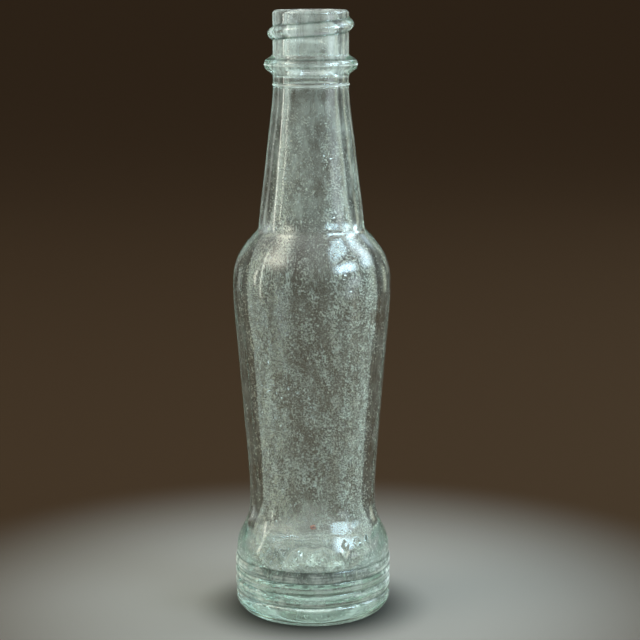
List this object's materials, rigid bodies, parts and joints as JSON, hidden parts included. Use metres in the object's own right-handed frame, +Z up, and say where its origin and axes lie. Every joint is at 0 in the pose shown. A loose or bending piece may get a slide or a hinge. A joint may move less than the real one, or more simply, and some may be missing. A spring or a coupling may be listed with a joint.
{
  "type": "glass soda bottle",
  "caption": "Small clear glass bottle with a screw-thread mouth, long neck, waisted body, ribbed base and a dried haze inside.",
  "frame": {"origin": "centre of the resting ring, on the bottle's axis", "axes": "+Z up the bottle's axis towards the mouth, -Y the front, +X to the right seen from the front"},
  "size_m": [0.052, 0.052, 0.2],
  "materials": {
    "bottle_glass": "gloss",
    "dried_mineral": "matte",
    "rust": "matte"
  },
  "bodies": {
    "root": {"glass_bottle": "bottle_glass", "dried_film": "dried_mineral", "rust_fleck": "rust"}
  },
  "joints": []
}
